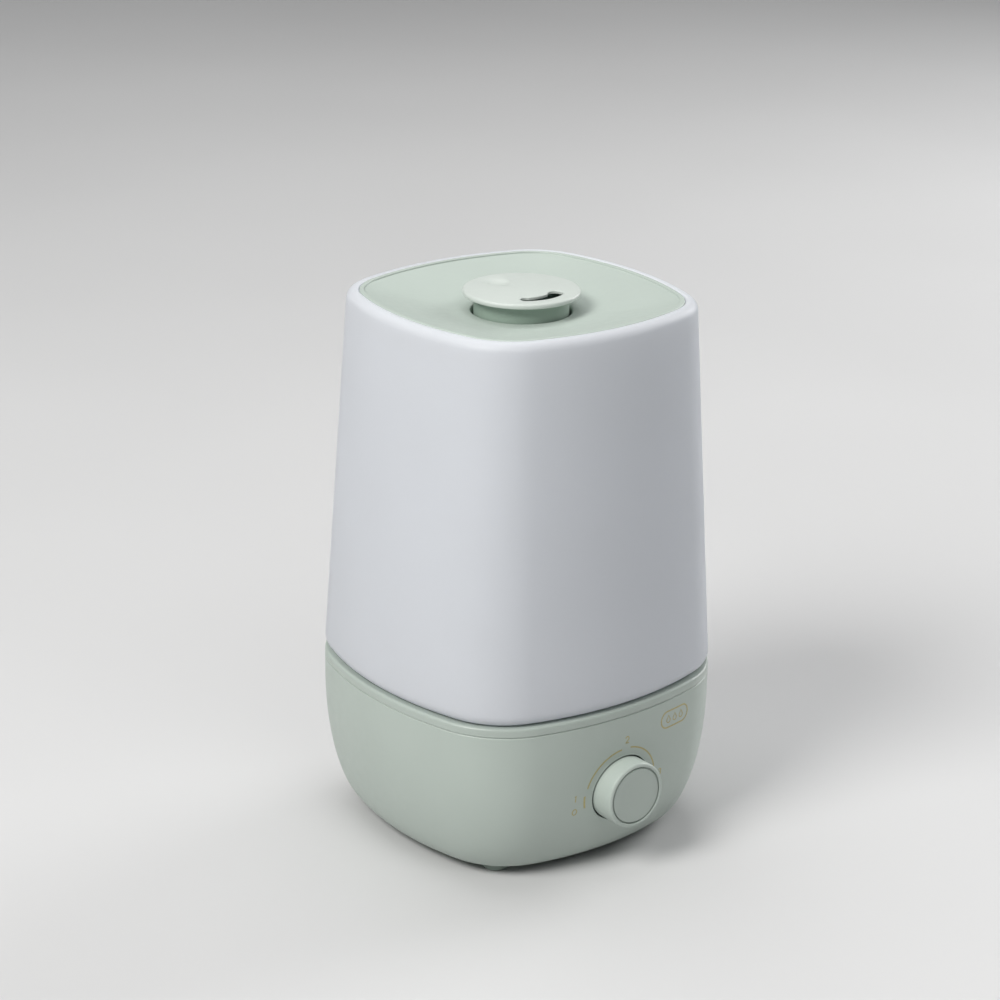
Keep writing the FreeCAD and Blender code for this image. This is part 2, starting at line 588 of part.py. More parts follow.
def dial():
    length = "knob_face - knob_back"
    outline = [("0", "0"), ("knob_radius - 1.6", "0"), ("knob_radius", "4"), ("knob_radius", length),
               ("cap_radius + 0.4", length), ("cap_radius + 0.4", f"{length} - 1.4"), ("0", f"{length} - 1.4")]
    knob = turned_node("dial_knob", outline, "0", "-knob_back", "dial_height", FRONT)
    pocket(knob, "knob_bore", circle(sketch_on(knob, "knob_bore_line"), "shaft_radius"), "10", flip=True)
    front, ring = value(length), value("cap_radius + 1")
    dress(knob, "Fillet", "knob_round", "1.1",
          lambda box: abs(box.ZMin - front) < 0.01 and box.ZLength < 0.01 and box.XMax > ring)
    disc = [("0", "0"), ("cap_radius", "0"), ("cap_radius", "1.2"), ("0", "1.2")]
    cap = turned_node("knob_cap", disc, "0", "-knob_face + 1.4", "dial_height", FRONT)
    dress(cap, "Fillet", "cap_round", "0.5", lambda box: abs(box.ZMin - 1.2) < 0.01 and box.ZLength < 0.01)
    node(rod("switch_shaft", "shaft_radius", "knob_back + 10 - switch_front + 6", "0", "-switch_front + 6",
             "dial_height", FRONT), "switch_shaft")
    node(tube("switch_body", "switch_side / 2", "shaft_radius + 0.06", "switch_depth", "0",
              "-switch_front + switch_depth", "dial_height", FRONT), "switch_body")
    node(tube("switch_nut", "6", "shaft_radius + 0.3", "2.2", "0", "-switch_front", "dial_height", FRONT),
         "switch_nut")
    behind = "-switch_front + switch_depth"
    plate = block("switch_plate", ("34", "1.6", "30"), "0", f"{behind} + 0.8", "dial_height - 15")
    leg = block("switch_leg", ("34", "8", "1.6"), "0", f"{behind} + 4", "dial_height - 15")
    node(fuse("switch_bracket", plate, leg), "switch_bracket")


def power_inlet():
    height = "jack_height - jack_side / 2"
    shell = block("jack_shell", ("jack_side", "13", "jack_side"), "jack_x", "jack_face - 6.5", height)
    socket = rod("jack_socket", "jack_bore", "7", "jack_x", "jack_face - 7", "jack_height", BACK)
    node(cut("dc_jack", shell, socket), "dc_jack")


def water_level():
    body = new_body("float_arm")
    arm = [("3.2", "-1.6"), ("3.2", "1.6"), ("-2", "3.3"), ("-34", "-2.2"), ("-34", "-4.4")]
    line = polygon(sketch_on(body, "arm_line", "YZ_Plane", "-3"), arm)
    pad(body, "arm_bar", line, "6")
    pad(body, "arm_knuckle", circle(sketch_on(body, "knuckle_line", "YZ_Plane", "-3.3"), "3.3"), "6.6")
    bore = circle(sketch_on(body, "arm_bore_line", "YZ_Plane", "-5"), "pin_radius + 0.06")
    pocket(body, "arm_bore", bore, "10", flip=True)
    place(body, "pivot_x", "pivot_y", "pivot_z")
    outline = [("3", "0"), ("float_radius", "0"), ("float_radius", "7"), ("0", "7"), ("0", "2.4"), ("3", "2.4")]
    disc = turned_node("float_disc", outline, "float_x", "float_y", "basin_level + 4.4")
    dress(disc, "Fillet", "float_round", "1.6",
          lambda box: box.ZLength < 0.01 and box.XMax > value("float_radius") - 0.1)
    node(rod("float_magnet", "2.9", "2.3", "float_x", "float_y", "basin_level + 4.4"), "float_magnet")
    node(rod("float_pin", "pin_radius", "13", "pivot_x - 6.5", "pivot_y", "pivot_z", RIGHT), "float_pin")
    node(block("reed_switch", ("12", "4", "3"), "float_x", "float_y", "basin_level - tray_wall - 3"),
         "reed_switch")
    case = new_body("cartridge_case")
    outline = [("-13", "-11"), ("9", "-13"), ("14", "2"), ("3", "13"), ("-14", "9")]
    pad(case, "case_block", polygon(sketch_on(case, "case_line"), outline), "12")
    hollow = [(f"0.84 * {x}", f"0.84 * {y}") for x, y in outline]
    pocket(case, "case_hollow", polygon(sketch_on(case, "case_hollow_line"), hollow), "10.2", flip=True)
    place(case, "cartridge_x", "cartridge_y", "basin_level")
    medium = new_body("cartridge_medium")
    inner = [(f"0.82 * {x}", f"0.82 * {y}") for x, y in outline]
    pad(medium, "medium_block", polygon(sketch_on(medium, "medium_line"), inner), "10")
    place(medium, "cartridge_x", "cartridge_y", "basin_level")


# ---------------------------------------------------------------- tank

def tank_half(height):
    share = f"((({height}) - rim_top) / (tank_top - rim_top))"
    return f"(tank_bottom_half + (tank_top_half - tank_bottom_half) * {share})"


def tank_shell():
    body = new_body("tank_shell")
    outer = [tank_outline(body, "tank_low_line", "tank_bottom_half", "rim_top"),
             tank_outline(body, "tank_high_line", "tank_top_half", "tank_top")]
    loft(body, "Additive", "tank_block", outer, ruled=True)
    low, high = "rim_top + tank_wall", "ledge_level - 4"
    inner = [tank_outline(body, "hollow_low_line", tank_half(low), low, "tank_wall"),
             tank_outline(body, "hollow_high_line", tank_half(high), high, "tank_wall")]
    loft(body, "Subtractive", "tank_hollow", inner, ruled=True)
    top = "tank_top_half"
    pocket(body, "tank_mouth", tank_outline(body, "mouth_line", top, "tank_top", f"{top} - mouth_half"),
           "tank_top - ledge_level")
    ledge = tank_outline(body, "ledge_line", top, "ledge_level", f"{top} - ledge_half")
    pocket(body, "ledge_opening", ledge, "6")
    floor = tank_outline(body, "floor_line", "tank_bottom_half", "rim_top", "tank_bottom_half - floor_hole_half")
    pocket(body, "floor_opening", floor, "5", flip=True)
    dress(body, "Fillet", "tank_foot_rounding", "tank_foot_round", level_edges("rim_top", "70", "90"))
    dress(body, "Fillet", "tank_top_rounding", "tank_top_round", level_edges("tank_top", "68.5", "90"))
    dress(body, "Fillet", "mouth_rounding", "0.8", level_edges("tank_top", "40", "68.2"))
    return body


def tank_bottom():
    """Clear plate under the shell's floor, with a short skirt that drops inside the base's rim."""
    body = new_body("tank_bottom")
    half = "tank_bottom_half"
    pad(body, "clear_plate", tank_outline(body, "clear_line", half, "rim_top", f"{half} - skirt_half"),
        "rim_top - skirt_bottom", flip=True)
    hollow = tank_outline(body, "skirt_line", half, "skirt_bottom", f"{half} - skirt_half + clear_thick")
    pocket(body, "skirt_hollow", hollow, "rim_top - skirt_bottom - clear_thick", flip=True)
    spigot = tank_outline(body, "spigot_line", half, "rim_top", f"{half} - floor_hole_half + 0.2")
    pad(body, "spigot", spigot, "tank_wall")
    chimney = circle(sketch_on(body, "chimney_line", offset="rim_top + tank_wall"), "chimney_outer")
    pocket(body, "chimney_seat", chimney, "tank_wall")
    pocket(body, "mist_way", circle(sketch_on(body, "mist_way_line", offset="rim_top"), "chimney_inner"), "5")
    seat = circle(sketch_on(body, "valve_seat_line", offset="rim_top + 3"), "valve_radius", "post_x", "post_y")
    pocket(body, "valve_seat", seat, "8")
    dress(body, "Fillet", "skirt_rounding", "0.7", level_edges("skirt_bottom", "60", "85"))
    return body


def tank_inside():
    node(tube("mist_chimney", "chimney_outer", "chimney_inner", "chimney_top - rim_top", "0", "0", "rim_top"),
         "mist_chimney")
    node(tube("chimney_seal", "chimney_outer + 2.2", "chimney_outer", "2", "0", "0", "rim_top + tank_wall"),
         "chimney_seal")
    guide, flange = "plunger_radius + 0.3", "valve_radius + 2"
    housing = [(guide, "0"), ("5", "0"), ("5", "6"), ("valve_radius", "6"), ("valve_radius", "12"),
               (flange, "12"), (flange, "14"), ("6.2", "14"), ("6.2", "10"), (guide, "10")]
    turned_node("valve_housing", housing, "post_x", "post_y", "rim_top - 9.5")
    plunger = [("0", "0"), ("plunger_radius", "0"), ("plunger_radius", "17.2"), ("5.4", "17.2"), ("5.4", "19"),
               ("plunger_radius", "19"), ("plunger_radius", "28.5"), ("0", "28.5")]
    turned_node("valve_plunger", plunger, "post_x", "post_y", "post_top + 0.3")
    node(tube("valve_seal", "5.4", "plunger_radius", "1", "post_x", "post_y", "post_top + 16.5"), "valve_seal")
    cage = tube("cage_ring", "valve_radius + 1.6", "valve_radius", "9", "post_x", "post_y", "rim_top + 4.5")
    windows = [block("cage_window_x", ("30", "7", "6"), "post_x", "post_y", "rim_top + 6"),
               block("cage_window_y", ("7", "30", "6"), "post_x", "post_y", "rim_top + 6")]
    roof = tube("cage_roof", "valve_radius + 1.6", "plunger_radius + 0.4", "1.6", "post_x", "post_y",
                "rim_top + 12")
    node(fuse("valve_cage", cut("cage_wall", cage, *windows), roof), "valve_cage")
    coil = doc.addObject("Part::Helix", "spring_line")
    bind(coil, "Pitch", "spring_length / 2.5")
    bind(coil, "Height", "spring_length")
    bind(coil, "Radius", "spring_radius")
    wire = doc.addObject("Part::Circle", "spring_wire")
    bind(wire, "Radius", "0.35")
    place(wire, "spring_radius", rotation=FRONT)
    spring = doc.addObject("Part::Sweep", "valve_spring")
    spring.Sections = [wire]
    spring.Spine = coil
    spring.Solid = True
    spring.Frenet = True
    place(spring, "post_x", "post_y", "rim_top + 12 - 0.4 - spring_length")
    node(spring, "valve_spring")


# ---------------------------------------------------------------- lid and nozzle

def top_lid():
    body = new_body("top_lid")
    full = "tank_top_half"
    edge = f"{full} - lid_half"
    pad(body, "lid_flange", tank_outline(body, "lid_line", full, "ledge_level", edge), "tank_top - ledge_level")
    plug = tank_outline(body, "plug_line", full, "ledge_level", f"{full} - ledge_half + 0.6")
    pad(body, "lid_plug", plug, "5", flip=True)
    hollow = [tank_outline(body, f"under_{name}_line", half, height)
              for name, half, height in (("low", "ledge_half - 2.6", "ledge_level - 5"),
                                         ("high", "ledge_half - 3.4", "ledge_level - 4.2"))]
    loft(body, "Subtractive", "plug_hollow", hollow, ruled=True)
    pad(body, "lid_collar", circle(sketch_on(body, "lid_collar_line", offset="collar_bottom"), "collar_outer"),
        "dish_level - collar_bottom")
    step = tank_outline(body, "lip_line", full, "tank_top", f"{edge} + lip_width")
    pocket(body, "lip_step_down", step, "lip_step")
    dish = [tank_outline(body, "dish_top_line", full, "tank_top - lip_step", f"{edge} + lip_width"),
            soft_square(sketch_on(body, "dish_mid_line", offset="tank_top - 5"), "48", "0.62", "1.5"),
            soft_square(sketch_on(body, "dish_low_line", offset="dish_level"), "dish_radius", "0.9", "1.1")]
    loft(body, "Subtractive", "lid_dish", dish)
    pocket(body, "lid_opening", circle(sketch_on(body, "lid_hole_line", offset="tank_top"), "lid_hole"),
           "tank_top - collar_ledge")
    way = circle(sketch_on(body, "ledge_way_line", offset="tank_top"), "chimney_outer + 1")
    pocket(body, "ledge_way", way, "25")
    dress(body, "Fillet", "lid_edge_rounding", "0.7", level_edges("tank_top", "60", "68"))
    return body


def lid_gasket():
    body = new_body("lid_gasket")
    full = "tank_top_half"
    ring = tank_outline(body, "gasket_line", full, "ledge_level - 3.4", f"{full} - ledge_half")
    pad(body, "gasket_ring", ring, "2")
    hole = tank_outline(body, "gasket_hole_line", full, "ledge_level - 5", f"{full} - ledge_half + 0.6")
    pocket(body, "gasket_hole", hole, "5", flip=True)
    return body


def mist_nozzle():
    inside, foot, ceiling = "nozzle_neck - 1", "lid_hole - 0.3", "nozzle_top - nozzle_skin"
    body = turned("nozzle_turning", [
        (inside, "collar_ledge"), (foot, "collar_ledge"), (foot, "collar_ledge + 2"),
        ("nozzle_neck", "collar_ledge + 2"), ("nozzle_neck", "nozzle_disc_base"),
        ("nozzle_radius", "nozzle_disc_base"), ("nozzle_radius", "nozzle_top"), ("0", "nozzle_top"),
        ("0", ceiling), (inside, ceiling)])
    dress(body, "Fillet", "nozzle_round", "1",
          lambda box: box.XMax > value("nozzle_radius") - 0.1 and box.ZLength < 0.01)
    dimple = body.newObject("PartDesign::SubtractiveEllipsoid", "finger_dimple")
    bind(dimple, "Radius1", "nozzle_skin / 2")
    bind(dimple, "Radius2", "dimple_radius")
    bind(dimple, "Radius3", "dimple_radius")
    place(dimple, "dimple_x", "dimple_y", "nozzle_top")
    node(cut("mist_nozzle", body, comma()), "mist_nozzle")


def comma():
    """Mist slot: a curved sector that widens from a thin round tail to a round bulb at its +X end."""
    base, height = "nozzle_top - nozzle_skin - 1", "5"
    start = Rotation(Vector(0, 0, 1), value("tail_angle"))
    sector = rod("slot_sector", "slot_outer", height, "0", "0", base, start)
    bind(sector, "Angle", "bulb_angle - tail_angle")
    island = rod("slot_island", "island_radius", height, "-island_shift", "0", base)
    bulb_place, tail_place = "(slot_outer - bulb_radius)", "(slot_outer - tail_radius)"
    bulb = rod("slot_bulb", "bulb_radius", height, f"{bulb_place} * cos(bulb_angle * 1deg)",
               f"{bulb_place} * sin(bulb_angle * 1deg)", base)
    tail = rod("slot_tail", "tail_radius", height, f"{tail_place} * cos(tail_angle * 1deg)",
               f"{tail_place} * sin(tail_angle * 1deg)", base)
    return fuse("mist_slot", cut("slot_crescent", sector, island), bulb, tail)


# ---------------------------------------------------------------- build, check and write

base_casing()
base_tray()
air_tower()
bottom_cover()
feet_and_cover_screws()
mist_maker()
electronics()
fan()
lamp()
dial()
power_inlet()
water_level()
tank_shell()
tank_bottom()
tank_inside()
top_lid()
lid_gasket()
mist_nozzle()
doc.recompute()

for item in doc.Objects:
    if {"Invalid", "Error"} & set(item.State):
        raise ValueError(f"{item.Name} failed: {item.State}")
for item in nodes:
    if item.Shape.isNull() or not item.Shape.isValid():
        raise ValueError(f"{item.Label} has no valid shape")
os.makedirs("parts", exist_ok=True)
for item in nodes:
    item.Shape.exportStep(f"parts/{item.Label}.step")
    box = item.Shape.BoundBox
    print(f"{item.Label:20s} solids {len(item.Shape.Solids)} volume {item.Shape.Volume:10.0f}"
          f" z {box.ZMin:7.2f} {box.ZMax:7.2f}")
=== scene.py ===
"""Cool mist humidifier: looks, light and camera around the CAD frame. Metres, +Z up, front towards -Y."""
import json
import math

import bpy
import bmesh
from mathutils import Matrix, Vector


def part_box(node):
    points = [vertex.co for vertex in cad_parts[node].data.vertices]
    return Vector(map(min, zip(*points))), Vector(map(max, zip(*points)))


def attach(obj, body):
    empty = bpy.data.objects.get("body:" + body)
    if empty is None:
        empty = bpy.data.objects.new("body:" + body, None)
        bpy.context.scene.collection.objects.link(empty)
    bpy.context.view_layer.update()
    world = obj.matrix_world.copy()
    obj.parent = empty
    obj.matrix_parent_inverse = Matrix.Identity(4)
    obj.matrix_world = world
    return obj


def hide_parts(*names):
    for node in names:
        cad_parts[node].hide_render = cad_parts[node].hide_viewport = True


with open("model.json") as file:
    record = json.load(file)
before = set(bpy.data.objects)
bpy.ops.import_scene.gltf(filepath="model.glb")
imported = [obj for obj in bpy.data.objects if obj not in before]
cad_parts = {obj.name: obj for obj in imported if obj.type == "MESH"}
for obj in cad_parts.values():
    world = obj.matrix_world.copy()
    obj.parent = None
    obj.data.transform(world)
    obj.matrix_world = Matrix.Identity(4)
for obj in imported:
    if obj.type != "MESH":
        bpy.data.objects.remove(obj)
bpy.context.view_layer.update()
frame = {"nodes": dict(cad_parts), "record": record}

MM = 0.001
NODES = frame["nodes"]

# plan outlines: corner and side-bow radii, as shares of the half width
BASE_SHAPE = (0.532, 2.086)
TANK_SHAPE = (0.475, 1.973)

# driving sizes that scene and CAD share, in millimetres
FLOOR, BOWL_TOP, CASING_TOP, RIM_TOP, TANK_TOP = 3.5, 70, 79, 83.5, 264
FLOOR_HALF, RIM_HALF, CASING_WALL, CASING_FLOOR = 64.5, 84, 2.4, 4
TANK_HALF_LOW, TANK_HALF_HIGH = 84, 73.5
KNOB_BACK, KNOB_FACE, DIAL_HEIGHT, KNOB_HOLE = 75.5, 93.4, 41.6, 17.0
LEDGE_LEVEL, LID_HOLE, NECK_FOOT = 258, 23.7, 247
# a taller rise than this between two rings of the tank gets rings in between
TALL_STEP = 60
NOZZLE_TOP, NOZZLE_SKIN = 266.4, 1.4
FOOT_PLACE, FOOT_HOLE = 46.5, 6.8
LAMP = (18, -8, 58)
VALVE = (42, 26)


# ---------------------------------------------------------------- shader helpers

class Shader:
    """One material's node tree, with short calls for the nodes that the finishes share."""

    def __init__(self, name):
        self.material = bpy.data.materials.new(name)
        self.material.use_nodes = True
        self.tree = self.material.node_tree
        self.surface = self.tree.nodes["Principled BSDF"]
        self.output = self.tree.nodes["Material Output"]
        self.place = self.node("ShaderNodeTexCoord").outputs["Object"]

    def node(self, kind, **settings):
        made = self.tree.nodes.new(kind)
        for key, setting in settings.items():
            setattr(made, key, setting)
        return made

    def link(self, source, target):
        self.tree.links.new(source, target)

    def set(self, **sockets):
        for key, number in sockets.items():
            self.surface.inputs[key.replace("_", " ")].default_value = number
        return self

    def noise(self, scale, detail=3.0, stretch=None):
        made = self.node("ShaderNodeTexNoise")
        made.inputs["Scale"].default_value = scale
        made.inputs["Detail"].default_value = detail
        self.link(self.stretched(stretch), made.inputs["Vector"])
        return made.outputs["Fac"]

    def stretched(self, stretch):
        if stretch is None:
            return self.place
        made = self.node("ShaderNodeMapping")
        made.inputs["Scale"].default_value = stretch
        self.link(self.place, made.inputs["Vector"])
        return made.outputs["Vector"]

    def spread(self, source, low, high, start=0.3, end=0.7):
        """A factor mapped to a range of numbers."""
        made = self.node("ShaderNodeMapRange")
        for key, number in (("From Min", start), ("From Max", end), ("To Min", low), ("To Max", high)):
            made.inputs[key].default_value = number
        self.link(source, made.inputs["Value"])
        return made.outputs["Result"]

    def colours(self, source, first, second, start=0.3, end=0.7):
        """A factor mapped between two colours."""
        made = self.node("ShaderNodeValToRGB")
        for element, position, colour in zip(made.color_ramp.elements, (start, end), (first, second)):
            element.position = position
            element.color = (*colour, 1)
        self.link(source, made.inputs["Fac"])
        return made.outputs["Color"]

    def bump(self, height, strength, distance, under=None):
        made = self.node("ShaderNodeBump")
        made.inputs["Strength"].default_value = strength
        made.inputs["Distance"].default_value = distance
        self.link(height, made.inputs["Height"])
        if under is not None:
            self.link(under, made.inputs["Normal"])
        return made.outputs["Normal"]

    def softened(self, radius=0.35 * MM):
        """Normals that run round the sharp edges, as on every moulded piece."""
        made = self.node("ShaderNodeBevel", samples=4)
        made.inputs["Radius"].default_value = radius
        return made.outputs["Normal"]


def shade(colour, factor):
    return tuple(min(1.0, channel * factor) for channel in colour)


def moulded(name, colour, roughness=0.45, grain=0.35, tint=0.03):
    """Satin injection-moulded plastic: a fine spark-eroded grain, faint clouds of tone and gloss."""
    made = Shader(name)
    clouds = made.noise(14, 2)
    tone = made.colours(clouds, shade(colour, 1 - tint), shade(colour, 1 + tint))
    gloss = made.spread(made.noise(240, 2), roughness - 0.05, roughness + 0.05)
    made.link(tone, made.surface.inputs["Base Color"])
    made.link(gloss, made.surface.inputs["Roughness"])
    coarse = made.bump(made.noise(55, 2), 0.06, 0.3 * MM, made.softened())
    made.link(made.bump(made.noise(1900, 2), grain, 0.03 * MM, coarse), made.surface.inputs["Normal"])
    return made.set(IOR=1.5).material


def frosted(name, colour, roughness=0.42, through=0.42):
    """Milky blow-moulded plastic that lets some light through."""
    made = Shader(name)
    clouds = made.noise(9, 2)
    tone = made.colours(clouds, shade(colour, 0.975), shade(colour, 1.01))
    gloss = made.spread(made.noise(300, 2), roughness - 0.04, roughness + 0.04)
    made.link(tone, made.surface.inputs["Base Color"])
    made.link(gloss, made.surface.inputs["Roughness"])
    coarse = made.bump(made.noise(30, 2), 0.05, 0.4 * MM)
    normal = made.bump(made.noise(2100, 2), 0.25, 0.03 * MM, coarse)
    made.link(normal, made.surface.inputs["Normal"])
    glow = made.node("ShaderNodeBsdfTranslucent")
    made.link(tone, glow.inputs["Color"])
    made.link(normal, glow.inputs["Normal"])
    mix = made.node("ShaderNodeMixShader")
    mix.inputs["Fac"].default_value = through
    made.link(made.surface.outputs["BSDF"], mix.inputs[1])
    made.link(glow.outputs["BSDF"], mix.inputs[2])
    made.link(mix.outputs["Shader"], made.output.inputs["Surface"])
    return made.set(IOR=1.47).material


def clear(name, colour=(0.86, 0.92, 0.90), roughness=0.14):
    """Clear polished plastic, with the faint ripple of a moulded wall."""
    made = Shader(name)
    gloss = made.spread(made.noise(120, 2), roughness * 0.6, roughness * 1.6)
    made.link(gloss, made.surface.inputs["Roughness"])
    made.link(made.bump(made.noise(70, 2), 0.12, 0.2 * MM), made.surface.inputs["Normal"])
    made.surface.inputs["Base Color"].default_value = (*colour, 1)
    made.surface.inputs["Transmission Weight"].default_value = 1.0
    return made.set(IOR=1.49).material


def metal(name, colour, roughness=0.3, stretch=(1, 1, 12)):
    """Plated or stamped metal with fine drawn lines."""
    made = Shader(name)
    lines = made.noise(900, 3, stretch)
    made.link(made.colours(lines, shade(colour, 0.88), colour), made.surface.inputs["Base Color"])
    made.link(made.spread(lines, roughness - 0.06, roughness + 0.1), made.surface.inputs["Roughness"])
    made.link(made.bump(lines, 0.2, 0.02 * MM), made.surface.inputs["Normal"])
    return made.set(Metallic=1.0).material


def rubber(name, colour, roughness=0.75):
    made = Shader(name)
    dust = made.noise(160, 5)
    made.link(made.colours(dust, shade(colour, 0.85), shade(colour, 1.12)), made.surface.inputs["Base Color"])
    made.link(made.spread(dust, roughness - 0.08, roughness + 0.1), made.surface.inputs["Roughness"])
    made.link(made.bump(made.noise(1500, 3), 0.5, 0.05 * MM), made.surface.inputs["Normal"])
    return made.material


def circuit(name):
    """Solder mask with copper tracks that show through as a paler raised grid."""
    made = Shader(name)
    tracks = made.node("ShaderNodeTexBrick")
    for key, number in (("Scale", 260), ("Mortar Size", 0.035), ("Brick Width", 0.8), ("Row Height", 0.4)):
        tracks.inputs[key].default_value = number
    made.link(made.place, tracks.inputs["Vector"])
    made.link(made.colours(tracks.outputs["Fac"], (0.012, 0.10, 0.045), (0.05, 0.22, 0.10), 0.2, 0.8),
              made.surface.inputs["Base Color"])
    made.link(made.bump(tracks.outputs["Fac"], 0.5, 0.05 * MM), made.surface.inputs["Normal"])
    made.link(made.spread(made.noise(300), 0.25, 0.4), made.surface.inputs["Roughness"])
    return made.material


def fibre(name, colour):
    made = Shader(name)
    strands = made.noise(1200, 6, (1, 1, 5))
    made.link(made.colours(strands, shade(colour, 0.7), colour), made.surface.inputs["Base Color"])
    made.link(made.bump(strands, 0.9, 0.3 * MM), made.surface.inputs["Normal"])
    return made.set(Roughness=0.95).material


def printed(name, colour):
    """Pad-printed ink: slightly uneven cover over the plastic's grain."""
    made = Shader(name)
    cover = made.noise(700, 4)
    tone = made.colours(cover, shade(colour, 0.86), shade(colour, 1.08))
    made.link(tone, made.surface.inputs["Base Color"])
    made.link(made.spread(cover, 0.38, 0.55), made.surface.inputs["Roughness"])
    made.link(made.bump(made.noise(1900, 2), 0.3, 0.02 * MM), made.surface.inputs["Normal"])
    return made.set(Metallic=0.25).material


SAGE = (0.440, 0.500, 0.458)
PALE_SAGE = (0.545, 0.590, 0.555)
MILK = (0.862, 0.882, 0.915)

MATERIALS = {
    "base_green": moulded("sage_plastic", SAGE),
    # The tray's sage is the casing's made 5 % darker: painted shade for the inside of the basin and its rim.
    "tray_green": moulded("sage_tray_plastic", shade(SAGE, 0.95), 0.36, 0.25),
    "nozzle_green": moulded("pale_sage_plastic", PALE_SAGE, 0.4),
    "frosted": frosted("frosted_plastic", MILK),
    "clear": clear("clear_plastic"),
    "white_plastic": moulded("white_plastic", (0.72, 0.74, 0.75), 0.4),
    "float_grey": moulded("grey_plastic", (0.36, 0.38, 0.42), 0.3, 0.15),
    "cream": moulded("cream_plastic", (0.58, 0.53, 0.40), 0.4),
    "medium": fibre("filter_fibre", (0.75, 0.73, 0.66)),
    "rubber_grey": rubber("grey_rubber", (0.30, 0.36, 0.32)),
    "silicone": rubber("silicone", (0.62, 0.63, 0.62), 0.5),
    "steel": metal("plated_steel", (0.62, 0.62, 0.61)),
    "brass": metal("brass", (0.66, 0.46, 0.20), 0.22),
    "aluminium": metal("stamped_aluminium", (0.75, 0.76, 0.77), 0.34),
    "board": circuit("circuit_board"),
    "black_plastic": moulded("black_plastic", (0.03, 0.03, 0.032), 0.4),
    "copper": metal("enamelled_copper", (0.55, 0.24, 0.10), 0.25, (1, 1, 30)),
    "magnet": metal("nickel_magnet", (0.40, 0.40, 0.41), 0.2),
}
INK = printed("gold_ink", (0.46, 0.41, 0.20))
# Darker, greener copy of the sage: painted shade for the nozzle neck in the shadow under the disc, not a
# darker plastic.
PAINTED_SHADE_SAGE = moulded("sage_neck_painted_shade", (0.30, 0.385, 0.325), 0.5)


def dress(piece, material):
    piece.data.materials.clear()
    piece.data.materials.append(material)
    return piece


def dress_frame():
    """Every carried-over CAD piece gets the finish of its slot."""
    for row in frame["record"]["subparts"]:
        dress(NODES[row["node"]], MATERIALS[row["material_slot"]])


# ---------------------------------------------------------------- outlines and profiles, in millimetres

def soft_points(half, corner, bow, count=20):
    """Outline with four bowed sides and four round corners, all tangent; count is per arc."""
    side = half - bow
    middle = (side + math.sqrt(2 * (bow - corner) ** 2 - side ** 2)) / 2
    turn = math.atan2(middle, middle - side)
    points = []
    for quarter in range(4):
        spin = Matrix.Rotation(quarter * math.pi / 2, 2)
        for centre, radius, low, high in (((side, 0), bow, -turn, turn),
                                          ((middle, middle), corner, turn, math.pi / 2 - turn)):
            for step in range(count):
                angle = low + (high - low) * step / count
                points.append(spin @ (Vector(centre) + radius * Vector((math.cos(angle), math.sin(angle)))))
    return points


def base_ring(half, height, inset=0.0):
    shape = (share * half - inset for share in BASE_SHAPE)
    return [(*point, height) for point in soft_points(half - inset, *shape)]


def tank_half(height):
    share = min(max((height - RIM_TOP) / (TANK_TOP - RIM_TOP), 0), 1)
    return TANK_HALF_LOW + (TANK_HALF_HIGH - TANK_HALF_LOW) * share


def tank_ring(half, height):
    """The tank's own outline at a height, moved in to a half width."""
    full = tank_half(height)
    shape = (share * full - (full - half) for share in TANK_SHAPE)
    return [(*point, height) for point in soft_points(half, *shape)]


def round_ring(radius, height, like):
    """Circle whose points lie in the same directions as another ring's."""
    return [(*(Vector(point[:2]).normalized() * radius), height) for point in like]


def blended(ring, other, share):
    return [Vector(point).lerp(Vector(twin), share) for point, twin in zip(ring, other)]


def profile(corners, closed=True, steps=5):
    """Points along (across, up, radius) corners, with an arc in place of each corner that has a radius."""
    points = []
    last = len(corners) - 1
    for place, (across, up, *radius) in enumerate(corners):
        here = Vector((across, up))
        if not radius or (not closed and place in (0, last)):
            points.append(here)
            continue
        back = (Vector(corners[place - 1][:2]) - here).normalized()
        on = (Vector(corners[(place + 1) % len(corners)][:2]) - here).normalized()
        half = back.angle(on) / 2
        centre = here + (back + on).normalized() * radius[0] / math.sin(half)
        reach = radius[0] / math.tan(half)
        first, final = here + back * reach - centre, here + on * reach - centre
        ways = (first.slerp(final, step / steps).normalized() for step in range(steps + 1))
        points += [centre + radius[0] * way for way in ways]
    return points


# ---------------------------------------------------------------- pieces

def skin(name, rings, closed=True):
    """Solid from rings of equal length. Closed joins the last ring to the first, else both ends are capped."""
    count = len(rings[0])
    faces = []
    for row in range(len(rings) if closed else len(rings) - 1):
        low, high = row * count, (row + 1) % len(rings) * count
        faces += [(low + step, low + (step + 1) % count, high + (step + 1) % count, high + step)
                  for step in range(count)]
    if not closed:
        faces += [tuple(range(count))[::-1], tuple(range((len(rings) - 1) * count, len(rings) * count))]
    mesh = bpy.data.meshes.new(name)
    mesh.from_pydata([Vector(point) * MM for ring in rings for point in ring], [], faces)
    return tidied(mesh)


def tidied(mesh, sharp=35):
    """Join doubled points, point the faces outwards and smooth all but the sharp edges."""
    work = bmesh.new()
    work.from_mesh(mesh)
    bmesh.ops.remove_doubles(work, verts=work.verts, dist=0.002 * MM)
    bmesh.ops.dissolve_degenerate(work, edges=work.edges, dist=0.001 * MM)
    bmesh.ops.recalc_face_normals(work, faces=work.faces)
    work.to_mesh(mesh)
    work.free()
    mesh.shade_smooth()
    mesh.set_sharp_from_angle(angle=math.radians(sharp))
    return mesh


def turned(name, corners, place=(0, 0, 0), rotation=None, count=96, steps=5):
    """Solid of revolution about its own Z axis. A profile that isn't open on the axis closes on itself."""
    on_axis = corners[0][0] == 0 and corners[-1][0] == 0
    frame_of = Matrix.Translation(Vector(place)) @ (rotation or Matrix.Identity(4))
    rings = []
    for radius, height in profile(corners, closed=not on_axis, steps=steps):
        turn = [2 * math.pi * step / count for step in range(count)]
        rings.append([frame_of @ Vector((radius * math.cos(angle), radius * math.sin(angle), height))
                      for angle in turn])
    return skin(name, rings, closed=not on_axis)


